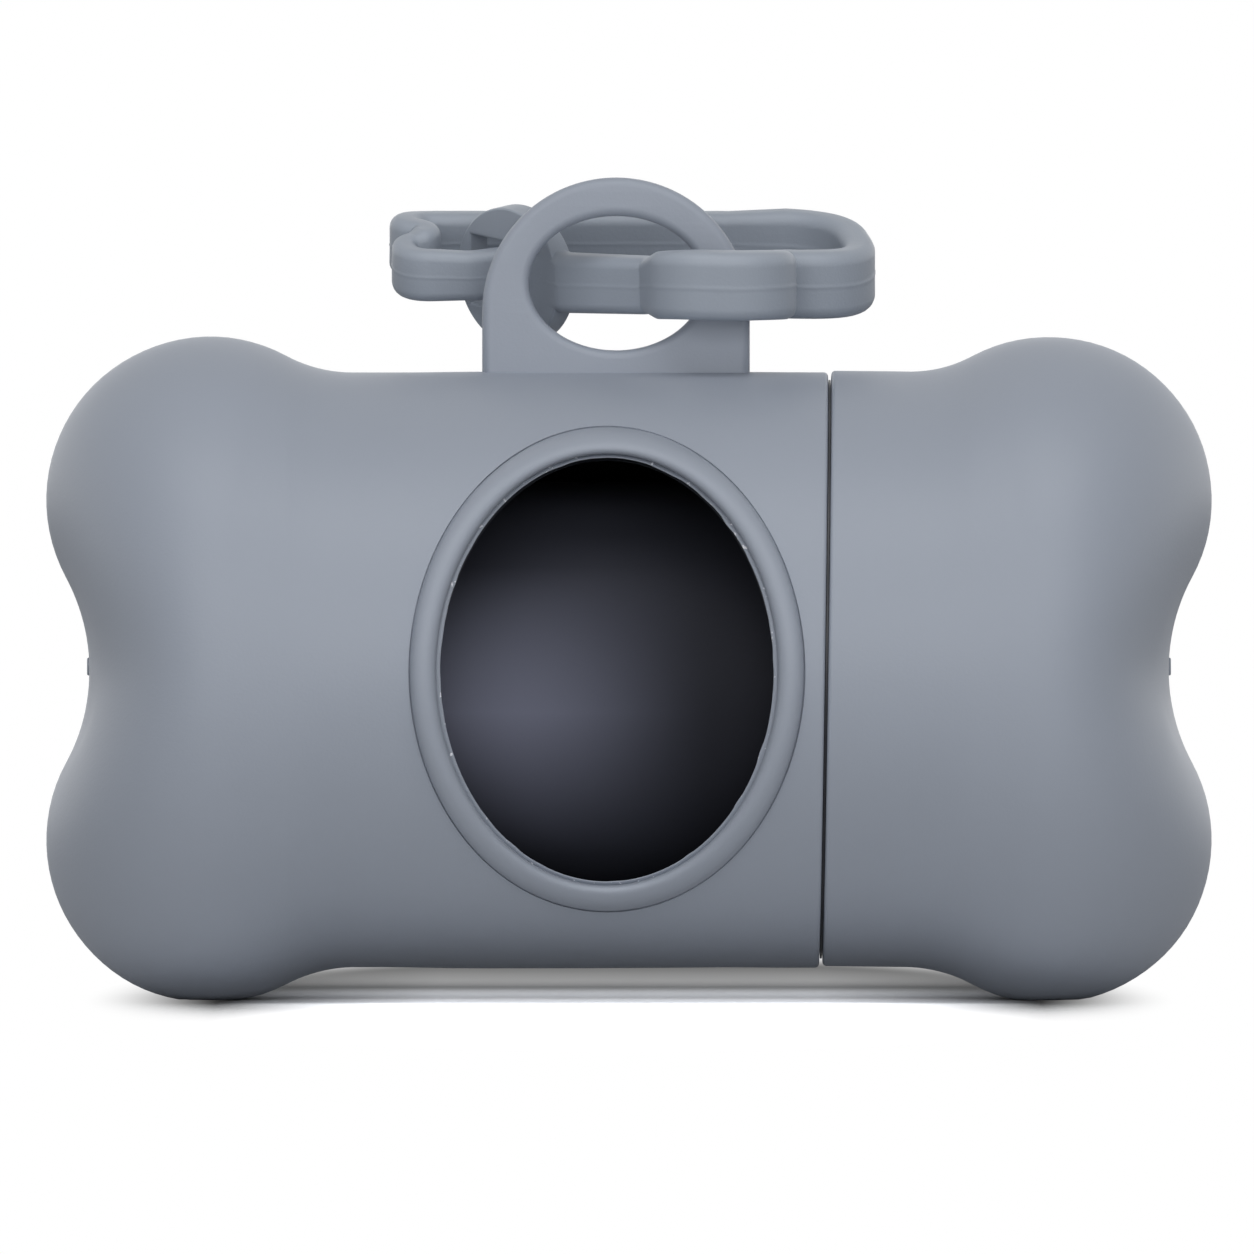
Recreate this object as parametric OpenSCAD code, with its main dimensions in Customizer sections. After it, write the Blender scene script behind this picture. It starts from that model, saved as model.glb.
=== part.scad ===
// Bone-shaped dispenser for rolls of waste bags: a hollow shell with a window and a lug,
// a screw-on end cap, round liners for the roll, a flexible hanging strap and the roll.
// X runs along the bone towards the cap, Y to the back and Z up. The origin is on the
// surface that the bone stands on, below its middle.

/* [Case] */
// Outside diameter of the round waist
waist_d = 43.4; // [42.8:0.1:46]
// Height over an upper and a lower lobe
lobe_height = 48.6; // [47.5:0.1:54]
// Radius of a lobe, seen from the front
lobe_r = 11.9; // [11:0.1:13.5]
// Radius of the fillet between waist and lobe
waist_fillet_r = 10.3; // [6:0.1:14]
// Radius of the hollow between the two lobes of an end
end_hollow_r = 14.2; // [12:0.1:18]
// How far the rounding of the front and back runs in from the end
end_round = 10.7; // [9:0.1:13]
// Squareness of that rounding, where 2 is an ellipse
end_squareness = 2.4; // [2:0.1:3]
// Wall of the shell and of the cap
case_wall = 2.5; // [1.5:0.1:2.6]
// Depth of the flats that the lower lobes stand on
foot_cut = 0.3; // [0.2:0.05:0.6]

/* [Seam and thread] */
// Distance from the middle of the bone to the seam
seam_x = 14.3; // [12:0.1:18]
// Gap between shell and cap at the seam
seam_gap = 0.2; // [0.1:0.05:0.4]
// Length of the neck past the seam
neck_len = 9; // [8:0.5:11]
// Plain stretch of the neck before its ridges, and again after them
neck_plain = 1; // [0.8:0.1:2]
// Turn by which the skirt's ridges start later than the neck's
skirt_late = 60; // [40:5:80]
// Clearance between neck ridges and skirt, and between skirt ridges and neck
thread_clearance = 0.3; // [0.25:0.05:0.4]
// How far each thread ridge stands out
ridge_h = 0.7; // [0.5:0.05:0.9]
// Travel of the cap in one turn
thread_lead = 8; // [7:0.5:10]
// Number of thread starts
thread_starts = 2; // [1:1:2]
// Width of a ridge at its foot
ridge_foot_w = 1.6; // [1:0.1:1.6]
// Width of a ridge at its tip
ridge_tip_w = 1; // [0.5:0.1:1]

/* [Liners] */
// Wall of the sleeve and of the cap cup
liner_wall = 1.4; // [1:0.1:1.8]
// Gap between a liner and the case round it
liner_gap = 0.3; // [0.2:0.05:0.4]
// Radius of a liner's closed corner
liner_corner_r = 4; // [3.6:0.1:4.1]
// Gap between the liner's closed end and the end of the roll
roll_end_gap = 1.8; // [1:0.1:3]
// Gap between the liner's closed end and the middle of the hollow end's wall
end_gap = 3.65; // [3.3:0.05:8]

/* [Window] */
// Distance of the window from the middle of the bone, towards the shell's end
window_shift = 1.6; // [0:0.1:3]
// Width of the clear opening
window_w = 24.2; // [20:0.1:24.5]
// Height of the clear opening
window_h = 30.8; // [24:0.1:31]
// Step from the liner's opening out to the shell's
window_step = 0.25; // [0.15:0.05:0.5]
// Width of the bead round the window
bead_w = 2.1; // [1.6:0.1:2.2]
// How far the bead stands out of the waist
bead_proud = 0.8; // [0.5:0.05:0.9]

/* [Lug] */
// Distance of the lug from the middle of the bone, towards the shell's end
lug_shift = 0.95; // [0:0.05:2]
// Width of the lug
lug_w = 19.5; // [18.5:0.1:21]
// Thickness of the lug
lug_t = 3; // [2.4:0.1:3.4]
// Height of the lug above the waist
lug_h = 14.2; // [13.5:0.1:16]
// Width of the oval hole
hole_w = 12.7; // [12.2:0.1:13.5]
// Height of the oval hole
hole_h = 9.8; // [9:0.1:10.5]
// Rim between the hole and the top of the lug
hole_rim = 2.8; // [2.4:0.1:3.2]

/* [Strap] */
// Thickness of the band
band_t = 2.3; // [1.8:0.1:2.4]
// Height of the band along its shank
band_h = 4.3; // [3.6:0.1:4.5]
// Height of the band round its lobes
band_lobe_h = 5; // [4.4:0.1:5.2]
// Thickness of the tongue
tongue_t = 1.8; // [1.4:0.1:2]
// Height of the tongue
tongue_h = 3.6; // [3:0.1:4]
// Turn of the strand in the hole, seen from above
strap_yaw = 35; // [34:0.5:36]
// Rise of the strap towards the back
strap_tilt = 13; // [8:0.5:14]
// Height of the strand's middle above the hole's middle
strap_lift = 0.4; // [0:0.1:0.6]
// Distance of that strand behind the middle of the lug
strap_back = 1; // [0.6:0.1:1.2]
// Diameter of the slotted plate
plate_d = 10.2; // [9.8:0.1:10.6]
// Rim of the slotted plate beside the slot
plate_rim = 1.5; // [1.2:0.1:1.7]
// Turn of the slotted plate, seen from above
plate_yaw = 44; // [42:0.5:46]
// Thickness of the slotted plate
plate_t = 1.6; // [1.2:0.1:1.8]
// Distance of the plate's near edge from the middle of the hole, along the strand
plate_reach = 4.4; // [4.2:0.1:4.6]
// Gap between the tongue and the slot, above and below
slot_gap = 0.8; // [0.3:0.05:0.9]

/* [Roll of bags] */
// Length of the roll
roll_len = 60; // [50:1:80]
// Diameter of the full roll
roll_d = 31; // [20:0.5:33]
// Outside diameter of the paper core
core_d = 15; // [12:0.5:18]
// Wall of the paper core
core_wall = 1; // [0.6:0.1:1.5]
// Gap between the roll and the sleeve that it lies on
roll_gap = 0.3; // [0.2:0.05:0.5]
// Gap between the paper core and the film wound on it
film_gap = 0.05; // [0.05:0.01:0.1]

/* [Hidden] */
$fn = 96;
case_grey = [0.60, 0.62, 0.67];
strap_grey = [0.50, 0.52, 0.57];
liner_grey = [0.16, 0.17, 0.20];
paper_brown = [0.60, 0.49, 0.36];
film_black = [0.07, 0.07, 0.08];
round_steps = 48;   // facets round the bone
waist_steps = 2;    // rings along the straight waist
fillet_steps = 5;   // rings over the waist's fillet
lobe_steps = 11;    // rings over a lobe
hollow_steps = 4;   // rings into the end's hollow
ridge_step = 10;    // degrees between the sections of a thread ridge
sink = 0.3;         // how far an added feature reaches into its wall
past = 1;           // how far a cut runs past what it cuts

waist_r = waist_d / 2;
axis_z = lobe_height / 2 - foot_cut;

// The roll sets the length: past its end come the liner's end, a gap, the wall of the
// hollow end and the depth of that hollow between the lobes
liner_end = roll_len / 2 + roll_end_gap + liner_wall;
lobe_z = lobe_height / 2 - lobe_r;
hollow_reach = sqrt(pow(lobe_r + end_hollow_r, 2) - pow(lobe_z, 2));
hollow_depth = lobe_r + end_hollow_r - hollow_reach;
body_len = 2 * (liner_end + end_gap + case_wall + hollow_depth);
lobe_x = body_len / 2 - lobe_r;
fillet_z = waist_r + waist_fillet_r;
fillet_x = lobe_x - sqrt(pow(lobe_r + waist_fillet_r, 2) - pow(fillet_z - lobe_z, 2));
hollow_x = lobe_x + hollow_reach;
fillet_turn = atan2(fillet_z - lobe_z, fillet_x - lobe_x);
hollow_turn = atan2(-lobe_z, hollow_x - lobe_x);
front_start = hollow_x - end_hollow_r - end_round;

shell_mouth = seam_x - seam_gap / 2;
cap_mouth = seam_x + seam_gap / 2;
liner_r = waist_r - case_wall - liner_gap;
roll_space_r = liner_r - liner_wall;

// The neck is the liner's own open end, and the skirt fits round its ridges
neck_end = seam_x + neck_len;
neck_ridge_r = liner_r + ridge_h;
skirt_r = neck_ridge_r + thread_clearance;
skirt_ridge_r = liner_r + thread_clearance;
skirt_end = neck_end + seam_gap;
cup_mouth = skirt_end + 2 * liner_gap;
thread_pitch = thread_lead / thread_starts;
neck_thread_x = seam_x + neck_plain + ridge_foot_w / 2;
neck_thread_turn = 360 * (neck_len - 2 * neck_plain - ridge_foot_w) / thread_lead;
skirt_thread_x = neck_thread_x - thread_pitch / 2;

window_x = -window_shift;
lug_x = -lug_shift;
lug_top = waist_r + lug_h;
lug_arc_r = lug_w / 2;
hole_z = lug_top - hole_rim - hole_h / 2;
roll_drop = roll_space_r - roll_d / 2 - roll_gap;

// Corners of the strap's middle line, seen from above, counted from the middle of the hole:
// right, back, corner radius, height of the band there
strand_root = plate_reach + 0.6 * plate_rim;
strap_route = [
    [-strand_root * cos(strap_yaw), strand_root * sin(strap_yaw), 0, band_h],
    [2.7, -2.7 * tan(strap_yaw), 1.5, band_h],
    [4.2, -6.4, 3.2, band_lobe_h],
    [12.9, -6.6, 3.6, band_lobe_h],
    [11.2, 0.9, 1.4, band_lobe_h],
    [19.4, 1.2, 3.6, band_lobe_h],
    [17, 11.6, 4, band_lobe_h],
    [8, 12.2, 8, band_h],
    [-15.3, 13.1, 2.2, band_h],
    [-15.5, 10.2, 1.2, band_h],
    [-12.9, 8.7, 1, band_h],
    [-15.5, 7.2, 1.2, tongue_h],
    [-15.3, 4.4, 2, tongue_h],
    [-10.6, 4.4, 3, tongue_h],
    [-3.9, 6.2, 0, tongue_h]
];
corner_steps = 6;

function circle_point(centre, r, turn) = centre + r * [cos(turn), sin(turn)];

// Outline of a lobed end in the front view, from the mouth to the middle of the end hollow
function top_outline(mouth, wall) = concat(
    [for (i = [0:waist_steps])
        [mouth + (fillet_x - mouth) * i / waist_steps, waist_r - wall]],
    [for (i = [1:fillet_steps])
        circle_point([fillet_x, fillet_z], waist_fillet_r + wall,
                     270 + (fillet_turn - 90) * i / fillet_steps)],
    [for (i = [1:lobe_steps])
        circle_point([lobe_x, lobe_z], lobe_r - wall,
                     fillet_turn + (hollow_turn - fillet_turn) * i / lobe_steps)],
    [for (i = [1:hollow_steps])
        circle_point([hollow_x, 0], end_hollow_r + wall,
                     hollow_turn + 180 - hollow_turn * i / hollow_steps)]
);

// Outline of the same end in the top view, with as many points
function front_outline(mouth, wall) =
    let (top = top_outline(mouth, wall),
         plain = waist_steps + fillet_steps,
         round = lobe_steps + hollow_steps,
         depth = end_round - wall,
         power = 2 / end_squareness)
    concat(
        [for (i = [0:plain]) [top[i].x, waist_r - wall]],
        [for (i = [1:round])
            let (turn = 90 * i / round)
            [front_start + depth * pow(sin(turn), power),
             (waist_r - wall) * pow(max(cos(turn), 0), power)]]
    );

// Rings round the bone's axis: lobes above and below, a plain round end at front and back
function end_rings(mouth, wall) =
    let (top = top_outline(mouth, wall), front = front_outline(mouth, wall))
    [for (i = [0:len(top) - 2])
        [for (j = [0:round_steps - 1])
            let (turn = 360 * j / round_steps,
                 share = pow(cos(turn), 2),
                 p = top[i] * share + front[i] * (1 - share))
            [p.x, p.y * sin(turn), p.y * cos(turn)]]];

function pole(wall) = [hollow_x - end_hollow_r - wall, 0, 0];

function flat(lists) = [for (list = lists) for (item = list) item];

function ring_faces(first, second, n) =
    [for (j = [0:n - 1])
        let (k = (j + 1) % n)
        each [[first + j, second + j, second + k], [first + j, second + k, first + k]]];

// Hollow end as one closed mesh: outside, inside and the ring at its mouth
module hollow_end(mouth) {
    n = round_steps;
    outside = end_rings(mouth, 0);
    inside = end_rings(mouth, case_wall);
    rings = len(outside);
    points = concat(flat(outside), flat(inside), [pole(0), pole(case_wall)]);
    outer_pole = 2 * rings * n;
    faces = concat(
        [for (i = [0:rings - 2]) each ring_faces((i + 1) * n, i * n, n)],
        [for (i = [0:rings - 2]) each ring_faces((rings + i) * n, (rings + i + 1) * n, n)],
        ring_faces(0, rings * n, n),
        [for (j = [0:n - 1])
            [(rings - 1) * n + j, (rings - 1) * n + (j + 1) % n, outer_pole]],
        [for (j = [0:n - 1])
            [(2 * rings - 1) * n + (j + 1) % n, (2 * rings - 1) * n + j, outer_pole + 1]]
    );
    polyhedron(points, faces, convexity = 6);
}

// Everything below the surface that the bone stands on
module under_foot() {
    translate([-body_len, -body_len, -axis_z - body_len])
        cube([2 * body_len, 2 * body_len, body_len]);
}

module along_x() {
    rotate([0, 90, 0]) children();
}

module oval(w, h) {
    steps = 72;
    polygon([for (i = [0:steps - 1]) [w / 2 * cos(360 * i / steps), h / 2 * sin(360 * i / steps)]]);
}

// Oval prism from the bone's middle out through its front
module window_cut(extra) {
    translate([window_x, 0, 0])
        rotate([90, 0, 0])
            linear_extrude(body_len / 2)
                oval(window_w + 2 * extra, window_h + 2 * extra);
}

// Round bead that follows the window's edge over the curved front
module window_bead() {
    stations = 60;
    sides = 10;
    half = bead_w / 2;
    path_r = waist_r + bead_proud - half;
    a = window_w / 2 + window_step + half;
    b = window_h / 2 + window_step + half;
    points = [for (i = [0:stations - 1])
        let (turn = 360 * i / stations,
             z = b * sin(turn),
             y = -sqrt(pow(path_r, 2) - pow(z, 2)),
             out = [0, y, z] / path_r,
             along = [-a * sin(turn), -b * cos(turn) * z / y, b * cos(turn)],
             side = cross(along / norm(along), out))
        for (j = [0:sides - 1])
            let (roll = 360 * j / sides)
            [window_x + a * cos(turn), y, z] + half * (cos(roll) * out + sin(roll) * side)];
    faces = [for (i = [0:stations - 1])
        each ring_faces(i * sides, ((i + 1) % stations) * sides, sides)];
    polyhedron(points, faces, convexity = 6);
}

module lug() {
    lug_root = waist_r - case_wall / 2;
    translate([lug_x, lug_t / 2, 0])
        rotate([90, 0, 0])
            linear_extrude(lug_t)
                difference() {
                    intersection() {
                        union() {
                            translate([0, lug_top - lug_arc_r]) circle(lug_arc_r);
                            translate([-lug_w / 2, 0]) square([lug_w, lug_top - lug_arc_r]);
                        }
                        translate([-lug_w / 2, lug_root]) square([lug_w, lug_top]);
                    }
                    translate([0, hole_z]) oval(hole_w, hole_h);
                }
}

// Helical ridge from radius foot_r to tip_r; start_x is its middle at turn 0
module thread_ridge(foot_r, tip_r, start_x, first_turn, last_turn) {
    steps = round((last_turn - first_turn) / ridge_step);
    section = [[foot_r, -ridge_foot_w / 2], [tip_r, -ridge_tip_w / 2],
               [tip_r, ridge_tip_w / 2], [foot_r, ridge_foot_w / 2]];
    sides = len(section);
    points = [for (i = [0:steps])
        let (turn = first_turn + (last_turn - first_turn) * i / steps)
        for (p = section)
            [start_x + thread_lead * turn / 360 + p.y, p.x * cos(turn), p.x * sin(turn)]];
    outward = tip_r > foot_r;
    sweep = [for (i = [0:steps - 1]) each ring_faces(i * sides, (i + 1) * sides, sides)];
    ends = [[for (j = [0:sides - 1]) j], [for (j = [sides - 1:-1:0]) steps * sides + j]];
    faces = [for (f = concat(sweep, ends)) outward ? [for (k = [len(f) - 1:-1:0]) f[k]] : f];
    polyhedron(points, faces, convexity = 4);
}

// All starts of a thread; the lead's own starts are spread evenly round the neck
module thread(foot_r, tip_r, start_x, first_turn, last_turn) {
    for (s = [0:thread_starts - 1])
        rotate([360 * s / thread_starts, 0, 0])
            thread_ridge(foot_r, tip_r, start_x, first_turn, last_turn);
}

module main_shell() {
    color(case_grey)
        translate([0, 0, axis_z]) {
            difference() {
                union() {
                    mirror([1, 0, 0]) hollow_end(-shell_mouth);
                    lug();
                }
                window_cut(window_step);
                under_foot();
            }
            window_bead();
        }
}

module liner_cup(mouth, closed) {
    wall = liner_wall;
    corner = liner_corner_r;
    outer = [for (a = [0:15:90])
        [liner_r - corner + corner * cos(a), closed - corner + corner * sin(a)]];
    inner = [for (a = [90:-15:0])
        [liner_r - corner + (corner - wall) * cos(a),
         closed - corner + (corner - wall) * sin(a)]];
    along_x()
        rotate_extrude()
            polygon(concat([[liner_r, mouth]], outer, [[0, closed], [0, closed - wall]], inner,
                           [[liner_r - wall, mouth]]));
}

module inner_sleeve() {
    color(liner_grey)
        translate([0, 0, axis_z])
            difference() {
                union() {
                    mirror([1, 0, 0]) liner_cup(-neck_end, liner_end);
                    thread(liner_r - sink, neck_ridge_r, neck_thread_x, 0, neck_thread_turn);
                }
                window_cut(0);
            }
}

module end_cap() {
    color(case_grey)
        translate([0, 0, axis_z]) {
            difference() {
                hollow_end(cap_mouth);
                along_x() cylinder(h = skirt_end, r = skirt_r);
                under_foot();
            }
            thread(skirt_r + sink, skirt_ridge_r, skirt_thread_x, skirt_late,
                   skirt_late + neck_thread_turn);
        }
}

module cap_cup() {
    color(liner_grey)
        translate([0, 0, axis_z]) liner_cup(cup_mouth, liner_end);
}

function unit(v) = v / norm(v);

// Arc that rounds the corner at point c between its neighbours, as [x, y, height] points
function corner_arc(before, c, after) =
    let (a = unit([before.x - c.x, before.y - c.y]),
         b = unit([after.x - c.x, after.y - c.y]),
         half = acos(a * b) / 2,
         centre = [c.x, c.y] + unit(a + b) * c[2] / sin(half),
         first = [c.x, c.y] + a * c[2] / tan(half) - centre,
         last = [c.x, c.y] + b * c[2] / tan(half) - centre,
         start = atan2(first.y, first.x),
         sweep = (atan2(last.y, last.x) - start + 540) % 360 - 180)
    [for (i = [0:corner_steps])
        let (p = circle_point(centre, c[2], start + sweep * i / corner_steps))
        [p.x, p.y, c[3]]];

function route_line(route) = concat(
    [[route[0].x, route[0].y, route[0][3]]],
    [for (i = [1:len(route) - 2]) each corner_arc(route[i - 1], route[i], route[i + 1])],
    [[route[len(route) - 1].x, route[len(route) - 1].y, route[len(route) - 1][3]]]
);

// Band section with broken corners: across the band, up the band
function band_section(t, h) =
    let (c = t / 4)
    [[t / 2, -h / 2 + c], [t / 2, h / 2 - c], [t / 2 - c, h / 2], [-t / 2 + c, h / 2],
     [-t / 2, h / 2 - c], [-t / 2, -h / 2 + c], [-t / 2 + c, -h / 2], [t / 2 - c, -h / 2]];

module band() {
    line = route_line(strap_route);
    last = len(line) - 1;
    sides = 8;
    points = [for (i = [0:last])
        let (ahead = line[min(i + 1, last)],
             behind = line[max(i - 1, 0)],
             along = unit([ahead.x - behind.x, ahead.y - behind.y]),
             side = [-along.y, along.x],
             t = line[i].z < band_h ? tongue_t : band_t)
        for (p = band_section(t, line[i].z))
            [line[i].x + side.x * p.x, line[i].y + side.y * p.x, p.y]];
    faces = concat(
        [for (i = [0:last - 1]) each ring_faces(i * sides, (i + 1) * sides, sides)],
        [[for (j = [0:sides - 1]) j], [for (j = [sides - 1:-1:0]) last * sides + j]]
    );
    polyhedron(points, faces, convexity = 8);
}

// Round plate at the end of the strand, with the slot that the tongue goes through
module slotted_plate() {
    slot = [plate_d - 2 * plate_rim, tongue_h + 2 * slot_gap];
    rotate([0, 0, -strap_yaw])
        translate([-plate_reach, 0, 0])
            rotate([0, 0, strap_yaw - plate_yaw])
                translate([-plate_d / 2, plate_t / 2, 0])
                    rotate([90, 0, 0])
                        linear_extrude(plate_t)
                            difference() {
                                circle(d = plate_d);
                                square(slot, center = true);
                            }
}

module hanging_strap() {
    color(strap_grey)
        translate([lug_x, strap_back, axis_z + hole_z + strap_lift])
            rotate([strap_tilt, 0, 0]) {
                band();
                slotted_plate();
            }
}

// Tube as long as the roll, where the roll lies
module roll_tube(outside_d, inside_d) {
    translate([-roll_len / 2, 0, axis_z - roll_drop])
        along_x()
            difference() {
                cylinder(h = roll_len, d = outside_d);
                translate([0, 0, -past]) cylinder(h = roll_len + 2 * past, d = inside_d);
            }
}

module roll_core() {
    color(paper_brown) roll_tube(core_d, core_d - 2 * core_wall);
}

module bag_roll() {
    color(film_black) roll_tube(roll_d, core_d + 2 * film_gap);
}

main_shell();
inner_sleeve();
end_cap();
cap_cup();
hanging_strap();
roll_core();
bag_roll();
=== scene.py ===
from math import acos, atan2, cos, pi, radians, sin, sqrt, tan

import bpy
from mathutils import Matrix, Vector, noise


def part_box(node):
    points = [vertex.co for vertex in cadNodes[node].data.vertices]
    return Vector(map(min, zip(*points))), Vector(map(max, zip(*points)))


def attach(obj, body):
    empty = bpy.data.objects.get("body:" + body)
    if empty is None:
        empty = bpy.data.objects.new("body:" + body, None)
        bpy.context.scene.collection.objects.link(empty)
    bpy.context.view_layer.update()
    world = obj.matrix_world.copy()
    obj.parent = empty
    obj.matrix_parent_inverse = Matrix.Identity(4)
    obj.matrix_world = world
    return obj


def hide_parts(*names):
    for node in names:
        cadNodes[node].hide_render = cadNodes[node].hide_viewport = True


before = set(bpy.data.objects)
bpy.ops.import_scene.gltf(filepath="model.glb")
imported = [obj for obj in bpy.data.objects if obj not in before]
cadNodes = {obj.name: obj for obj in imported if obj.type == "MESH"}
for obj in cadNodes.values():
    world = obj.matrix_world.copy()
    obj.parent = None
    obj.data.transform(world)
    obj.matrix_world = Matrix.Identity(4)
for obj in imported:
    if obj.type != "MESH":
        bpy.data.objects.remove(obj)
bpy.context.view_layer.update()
mm = 0.001
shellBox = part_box("main_shell")
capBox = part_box("end_cap")

# the moulded bone form that the shell and the cap share, in mm
bone = {
    "length": (capBox[1].x - shellBox[0].x) / mm,
    "waistRadius": 21.7,
    "lobeHalfHeight": 24.3,
    "lobeRadius": 11.9,
    "filletRadius": 10.3,
    "hollowRadius": 14.2,
    "endRound": 10.7,
    "squareness": 2.4,
    "wall": 2.5,
    "axisHeight": 24.0,
    "seam": 14.3,
    "seamGap": 0.24,
}
axisZ = bone["axisHeight"] * mm


def clearSelection():
    if bpy.context.mode != "OBJECT":
        bpy.ops.object.mode_set(mode="OBJECT")
    bpy.ops.object.select_all(action="DESELECT")


def pick(obj):
    clearSelection()
    obj.select_set(True)
    bpy.context.view_layer.objects.active = obj


def named(name):
    # the primitive that was just added gets its name
    obj = bpy.context.view_layer.objects.active
    obj.name = name
    obj.data.name = name
    return obj


def settle(obj):
    # the place goes into the mesh
    pick(obj)
    bpy.ops.object.transform_apply(location=True, rotation=True, scale=True)


def applyModifier(obj, kind, **values):
    modifier = obj.modifiers.new(kind.lower(), kind)
    for key, value in values.items():
        setattr(modifier, key, value)
    pick(obj)
    bpy.ops.object.modifier_apply(modifier=modifier.name)


def combine(obj, other, operation="DIFFERENCE"):
    applyModifier(obj, "BOOLEAN", operation=operation, solver="EXACT", object=other)
    bpy.data.objects.remove(other)


def bevelEdges(obj, passes, width, steps):
    # bevels the edges whose two ends pass the test
    mesh = obj.data
    pick(obj)
    bpy.ops.object.mode_set(mode="EDIT")
    bpy.ops.mesh.select_mode(type="EDGE")
    bpy.ops.mesh.select_all(action="DESELECT")
    bpy.ops.object.mode_set(mode="OBJECT")
    for edge in mesh.edges:
        a, b = (mesh.vertices[i].co for i in edge.vertices)
        edge.select = passes(a) and passes(b)
    bpy.ops.object.mode_set(mode="EDIT")
    bpy.ops.mesh.bevel(offset=width, offset_type="OFFSET", segments=steps, affect="EDGES",
                       clamp_overlap=True)
    bpy.ops.object.mode_set(mode="OBJECT")


def fillHoles(obj):
    pick(obj)
    bpy.ops.object.mode_set(mode="EDIT")
    bpy.ops.mesh.select_all(action="SELECT")
    bpy.ops.mesh.fill_holes(sides=0)
    bpy.ops.object.mode_set(mode="OBJECT")


def faceOutwards(obj):
    pick(obj)
    bpy.ops.object.mode_set(mode="EDIT")
    bpy.ops.mesh.select_mode(type="VERT")
    bpy.ops.mesh.select_all(action="SELECT")
    bpy.ops.mesh.remove_doubles(threshold=0.000001)
    bpy.ops.mesh.normals_make_consistent(inside=False)
    bpy.ops.object.mode_set(mode="OBJECT")


def keepFlatsFlat(obj):
    # rounded edges no longer pull the normals of the flat faces beside them
    applyModifier(obj, "WEIGHTED_NORMAL", keep_sharp=True, weight=80)


def shadeSmooth(obj, angle=35):
    pick(obj)
    bpy.ops.object.shade_smooth_by_angle(angle=radians(angle))


def drawCurve(name, *lines, closed=True, **settings):
    # a flat curve through the spots of each line, in mm
    curve = bpy.data.curves.new(name, "CURVE")
    curve.dimensions = "2D"
    for key, value in settings.items():
        setattr(curve, key, value)
    for line in lines:
        spline = curve.splines.new("POLY")
        spline.points.add(len(line) - 1)
        for point, (x, y) in zip(spline.points, line):
            point.co = (x * mm, y * mm, 0, 1)
        spline.use_cyclic_u = closed
    obj = bpy.data.objects.new(name, curve)
    bpy.context.collection.objects.link(obj)
    return obj


def turnToMesh(obj):
    pick(obj)
    bpy.ops.object.convert(target="MESH")
    return bpy.context.view_layer.objects.active


# ---- camera ----
photo = {
    "pixelSize": 0.0729 * mm,     # at the bone's axis
    "middle": (629, 670),         # pixel of the bone's middle
    "width": 1254,
    "distance": 3.0,
    "elevation": 1.0,
}


def makeCamera():
    p = photo
    half = p["width"] / 2
    target = Vector(((half - p["middle"][0]) * p["pixelSize"], 0,
                     axisZ + (p["middle"][1] - half) * p["pixelSize"]))
    rise = radians(p["elevation"])
    back = Vector((0, -cos(rise), sin(rise)))
    camera = bpy.data.objects.new("camera", bpy.data.cameras.new("camera"))
    bpy.context.collection.objects.link(camera)
    camera.data.sensor_width = 36
    camera.data.lens = 36 * p["distance"] / (p["width"] * p["pixelSize"])
    camera.data.clip_start = 0.01
    camera.data.clip_end = 20
    camera.location = target + back * p["distance"]
    camera.rotation_euler = (-back).to_track_quat("-Z", "Y").to_euler()
    bpy.context.scene.camera = camera


print("setting the camera")
makeCamera()

# ---- the moulded form of a bone end ----
moulding = {
    "segments": 144,
    "waistRings": 14,
    "filletRings": 10,
    "lobeRings": 34,
    "hollowRings": 12,
    "seamSlant": 0.0151,      # the seam in the photo isn't quite square to the bone
    "slantReach": 9.0,        # mm over which the slant fades
    "seamRound": 0.3,
    "sinkDepth": 0.1,         # soft sink marks
    "sinkSize": 7.5,
    "valleySoftness": 0.3,    # how gently the lobes part at front and back
    "capRise": 0.12,          # the cap sits a little high
    "skirtRadius": 19.9,
    "skirtEnd": 23.5,
    "skirtCore": 15.0,        # nothing nearer to the axis belongs to the skirt
}


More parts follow.
